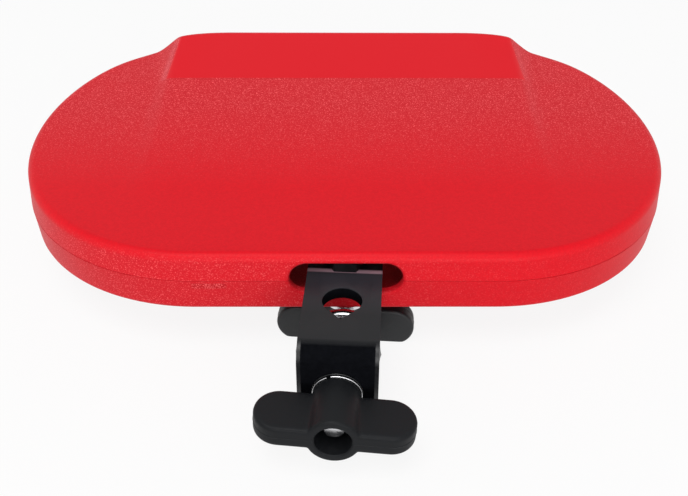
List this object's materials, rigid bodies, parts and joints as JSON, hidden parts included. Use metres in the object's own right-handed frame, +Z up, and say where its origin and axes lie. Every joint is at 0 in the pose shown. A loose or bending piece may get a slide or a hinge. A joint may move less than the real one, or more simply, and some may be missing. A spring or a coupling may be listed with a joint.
{
  "type": "percussion block",
  "caption": "Moulded plastic percussion block with a raised striking lip over a sound mouth, on a bent bracket with an eye-bolt rod clamp and plastic wing grips.",
  "frame": {"origin": "where the axis of the stand rod meets the axis of the clamp's eye bolt", "axes": "+Z up along the rod, the clamp's wing nut towards -Y at the player, the block towards +Y"},
  "size_m": [0.2484, 0.204, 0.063],
  "materials": {
    "red_shell": "semi-gloss moulded grain",
    "black_coat": "satin powder coat",
    "plated_steel": "bright plating",
    "black_grip": "satin moulded plastic",
    "insert_brass": "turned"
  },
  "bodies": {
    "bracket": {"mount_bracket": "black_coat", "bracket_nut": "plated_steel", "clamp_washer": "black_coat"},
    "block": {"upper_shell": "red_shell", "lower_shell": "red_shell", "mount_washer": "plated_steel"},
    "clamp_wing": {"clamp_wing_nut": "black_grip", "clamp_nut_insert": "insert_brass", "clamp_spring_washer": "plated_steel"},
    "eye": {"eye_bolt": "plated_steel"},
    "mount_wing": {"mount_wing_grip": "black_grip", "mount_screw": "plated_steel", "mount_spring_washer": "plated_steel"}
  },
  "joints": [
    {"name": "block_swivel", "type": "hinge", "parent": "bracket", "child": "block", "pos_m": [0, 0.0212, 0], "axis": [0, 0, 1], "range_deg": [-23.6, 16.4]},
    {"name": "clamp_wing_turn", "type": "hinge", "parent": "bracket", "child": "clamp_wing", "pos_m": [0, -0.03, 0], "axis": [0, 1, 0], "range_deg": [0, 1350]},
    {"name": "eye_draw", "type": "slide", "parent": "bracket", "child": "eye", "axis": [0, -1, 0], "range_m": [0, 0.00469]},
    {"name": "mount_wing_turn", "type": "hinge", "parent": "bracket", "child": "mount_wing", "pos_m": [0, 0.0212, 0], "axis": [0, 0, -1], "range_deg": [0, 25]}
  ],
  "couplings": [
    {"joint": "clamp_wing_turn", "follows": "eye_draw", "rad_per_m": 5026.5}
  ]
}
